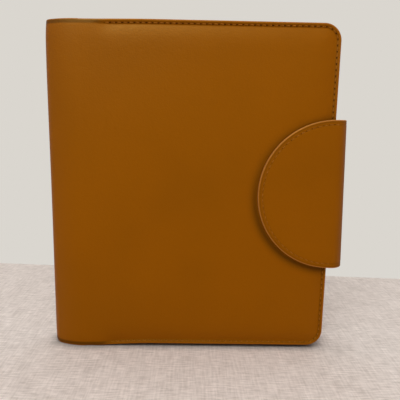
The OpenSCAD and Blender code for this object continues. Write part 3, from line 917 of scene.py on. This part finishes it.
def arc(cx, cz, r, start, end, y, steps):
    """Points of a round corner at one depth, between two angles in degrees."""
    turns = [math.radians(start + (end - start) * k / steps) for k in range(steps + 1)]
    return [(cx + r * math.cos(a), y, cz + r * math.sin(a)) for a in turns]


def cover_path(y, lift):
    """Seam of a cover: along the head, down the fore-edge and back along the foot."""
    r = CORNER_R - STITCH_INSET
    right, high = CASE_W - CORNER_R, CASE_H - CORNER_R
    across = np.linspace(BORDER_START, right, 40)
    path = [*((x, y, CASE_H - STITCH_INSET) for x in across[:-1]), *arc(right, high, r, 90, 0, y, 24),
            *arc(right, CORNER_R, r, 0, -90, y, 24), *((x, y, STITCH_INSET) for x in across[-2::-1])]
    return [(float(x), y, float(level_up(x, z, lift))) for x, y, z in path]


def shorten(path, start):
    """The same path begun some way along its first stretch."""
    (x0, y0, z0), (x1, y1, z1) = path[:2]
    t = start / math.dist(path[0], path[1])
    return [(x0 + t * (x1 - x0), y0 + t * (y1 - y0), z0 + t * (z1 - z0)), *path[1:]]


tan_thread, hole_shade = waxed_thread(), needle_hole_shade()
groove_y = HALF_T - LIP - SEAM_SINK * (GROOVE - LIP)
flap_y = FLAP_FACE - FLAP_SEAM_SINK


def seam(label, body, path, node):
    """The stitches of one seam, which stand for its solid, and dark discs of painted shade for the needle holes
    between them.
    """
    thread = sew(f"{label}_thread", [path], tan_thread, STITCH_LEN / 2, THREAD_WIDE, THREAD_PROUD, STITCH_SLANT)
    long, wide = FLAP_HOLE if body == "flap" else COVER_HOLE
    holes = sew(f"{label}_holes", [shorten(path, STITCH_PITCH / 2)], hole_shade, long, wide, HOLE_PROUD, 0.0)
    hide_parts(node)
    for piece in (thread, holes):
        if body == "flap":
            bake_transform(piece)
        else:
            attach(piece, body)


seam("front", "front", cover_path(-groove_y, FRONT_LIFT), "front_stitching")
seam("back", "back", cover_path(groove_y, BACK_LIFT), "back_stitching")
flap_path = arc(CASE_W, MID_Z, FLAP_R - FLAP_STITCH_INSET, 90, 270, -flap_y, 90)
seam("flap", "flap", flap_path, "flap_stitching")


def inner_seam(label, body, *paths):
    """Stitches through a panel or pocket, flat on its face."""
    thread = sew(f"{label}_thread", paths, tan_thread, STITCH_LEN / 2, INNER_WIDE, INNER_PROUD, 0.0)
    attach(thread, body)


def open_box(x0, z0, x1, z1, y):
    """Path down one side, along the foot and up the other side."""
    return [(x0, y, z1), (x0, y, z0), (x1, y, z0), (x1, y, z1)]


bay_out = PANEL_MARGIN - INNER_INSET
panel_path = open_box(BAY_X - bay_out, BAY_Z - bay_out, BAY_X + TABLET_W + bay_out, BAY_Z + TABLET_H + bay_out,
                      panel_y)
inner_seam("panel", "back", [*panel_path, panel_path[0]])
inner_seam("slip", "front", open_box(SLIP_X + INNER_INSET, SLIP_MARGIN + INNER_INSET, slip_right - INNER_INSET,
                                     slip_top - SLIP_R, slip_y + POCKET_T))
card_paths = []
seam_foot = CARD_Z + INNER_INSET
for card_face, card_top in reversed(card_tops):
    sides = open_box(CARD_X + INNER_INSET, seam_foot, CARD_X + CARD_W - INNER_INSET, card_top - 2, card_face)
    card_paths += [sides] if seam_foot < CARD_Z + CARD_H else [sides[:2], sides[2:]]
    seam_foot = card_top + 1
inner_seam("cards", "front", *card_paths)
for level, place in CORNERS:
    edge_path = [at_corner(place == "outer", level == "upper", u, v, cap_y)
                 for u, v in hollow_edge(INNER_HOLDER_INSET)[2:-2]]
    inner_seam(f"corner_{level}_{place}", "back", edge_path)

# Setting: pale linen laid on a table, woven from uneven yarn, with a plain pale ground beyond its far
# edge. The light is that of a pale room, with a soft window before the case and one lamp overhead.
LINEN_EDGE, LINEN_SLANT, LINEN_REACH = 0.181, -0.24, 3.0
GROUND_REACH, GROUND_DROP = 30.0, 0.002
CONTACT_SHADE_REACH, ROOM_LIGHT, LAMP_AIM = 10 * MM, 0.55, Vector((0, 0, 0.12))
PALE = plain_colour(218, 214, 207)


def threads(tree, where, stretch, scale):
    """Uneven yarn of one direction, thick and thin along its length."""
    along = tree.nodes.new("ShaderNodeMapping")
    along.inputs["Scale"].default_value = stretch
    tree.links.new(where, along.inputs["Vector"])
    return noise(tree, along.outputs["Vector"], scale, 3, 0.6)


def linen():
    """Plain weave, paler on the thick yarn, with a soft blotch over it, and a painted contact shadow where the
    case stands.
    """
    material, tree, shader, where = finish("pale_linen", 0.95, 0.1)
    weft = threads(tree, where, (0.14, 1.0, 1.0), 700)
    warp = threads(tree, where, (1.0, 0.08, 1.0), 640)
    weave = calc(tree, "MULTIPLY_ADD", weft, 0.5, calc(tree, "MULTIPLY", warp, 0.3))
    weave = calc(tree, "MULTIPLY_ADD", noise(tree, where, 40, 4, 0.7), 0.2, weave)
    colour = ramp(tree, weave, (0.38, plain_colour(202, 190, 182)), (0.62, plain_colour(240, 229, 222)))
    # Painted contact shadow: ambient occlusion darkens the linen's colour within reach of the case.
    contact_shade = tree.nodes.new("ShaderNodeAmbientOcclusion")
    contact_shade.inputs["Distance"].default_value = CONTACT_SHADE_REACH
    tree.links.new(colour, contact_shade.inputs["Color"])
    tree.links.new(contact_shade.outputs["Color"], shader.inputs["Base Color"])
    bump(tree, shader, weave, 0.8 * MM, 0.4)
    return material


def seen_directly(tree):
    """1 where the camera sees the surface itself, in a mirror or through glass."""
    path = tree.nodes.new("ShaderNodeLightPath")
    mirrored = calc(tree, "MAXIMUM", path.outputs["Is Glossy Ray"], path.outputs["Is Transmission Ray"])
    return calc(tree, "MAXIMUM", path.outputs["Is Camera Ray"], mirrored)


def pale_ground():
    """Matt ground that takes light and shadow, and shows its own even colour where it is looked at."""
    material, tree, shader, where = finish("pale_ground", 0.9, 0.1)
    clouds = noise(tree, where, 2.5)
    colour = ramp(tree, clouds, (0.3, plain_colour(214, 210, 203)), (0.7, plain_colour(222, 218, 211)))
    tree.links.new(colour, shader.inputs["Base Color"])
    even = tree.nodes.new("ShaderNodeEmission")
    even.inputs["Color"].default_value = PALE
    blend = tree.nodes.new("ShaderNodeMixShader")
    tree.links.new(seen_directly(tree), blend.inputs["Fac"])
    tree.links.new(shader.outputs["BSDF"], blend.inputs[1])
    tree.links.new(even.outputs["Emission"], blend.inputs[2])
    tree.links.new(blend.outputs["Shader"], tree.nodes["Material Output"].inputs["Surface"])
    return material


def ground(name, reach, far_edge, far_slant, z, material):
    """A level sheet whose far edge may run slantwise."""
    mesh = bpy.data.meshes.new(name)
    corners = [(-reach, -reach, z), (reach, -reach, z), (reach, far_edge + far_slant, z),
               (-reach, far_edge - far_slant, z)]
    mesh.from_pydata(corners, [], [(0, 1, 2, 3)])
    mesh.materials.append(material)
    placed(name, mesh)


ground("linen", LINEN_REACH, LINEN_EDGE, LINEN_SLANT, 0, linen())
ground("table", GROUND_REACH, GROUND_REACH, 0, -GROUND_DROP, pale_ground())

world = bpy.data.worlds.new("room")
bpy.context.scene.world = world
world.use_nodes = True
room = world.node_tree
room_light = room.nodes["Background"]
direct = seen_directly(room)
room.links.new(mix(room, direct, (1.0, 0.98, 0.95, 1.0), PALE), room_light.inputs["Color"])
room.links.new(calc(room, "MULTIPLY_ADD", direct, 1 - ROOM_LIGHT, ROOM_LIGHT), room_light.inputs["Strength"])


def lamp(name, place, size, watts, sheen_only=False):
    """A square window or lamp turned to the case; one for sheen alone shows only as a soft reflection."""
    light = bpy.data.lights.new(name, "AREA")
    light.shape, light.size, light.energy = "SQUARE", size, watts
    stand = placed(name, light)
    stand.location = place
    stand.rotation_euler = (LAMP_AIM - Vector(place)).to_track_quat("-Z", "Y").to_euler()
    stand.visible_diffuse = not sheen_only


lamp("window", (-0.1, -0.6, 0.95), 0.5, 3.6)
lamp("overhead", (0.0, 0.15, 1.3), 0.6, 3.2)
lamp("window_sheen", (-0.55, -0.9, 1.35), 0.3, 58.0, sheen_only=True)

# Camera: held a little above the middle of the case, tilted down and turned slightly, as in the
# photograph. Its place and angles were fitted to the outline of the case.
FOCAL_PX, FRAME_PX, SENSOR_W = 450.0, 400.0, 36.0
CAMERA_PLACE = Vector(at_frame(113.07, -358.1, 182.3))
pitch, yaw, roll = (math.radians(a) for a in (9.800, 0.911, 1.08))
ahead = Vector((math.sin(yaw) * math.cos(pitch), math.cos(yaw) * math.cos(pitch), -math.sin(pitch)))
sideways = Vector((math.cos(yaw), -math.sin(yaw), 0))
upright = sideways.cross(ahead)
to_right = math.cos(roll) * sideways + math.sin(roll) * upright
to_top = -math.sin(roll) * sideways + math.cos(roll) * upright
lens = bpy.data.cameras.new("camera")
lens.sensor_fit = "HORIZONTAL"
lens.sensor_width = SENSOR_W
lens.lens = SENSOR_W * FOCAL_PX / FRAME_PX
lens.clip_start = 0.01
camera = placed("camera", lens)
aimed = Matrix((to_right, to_top, -ahead)).transposed().to_4x4()
aimed.translation = CAMERA_PLACE
camera.matrix_world = aimed
bpy.context.scene.camera = camera
bpy.context.scene.view_settings.view_transform = "Standard"
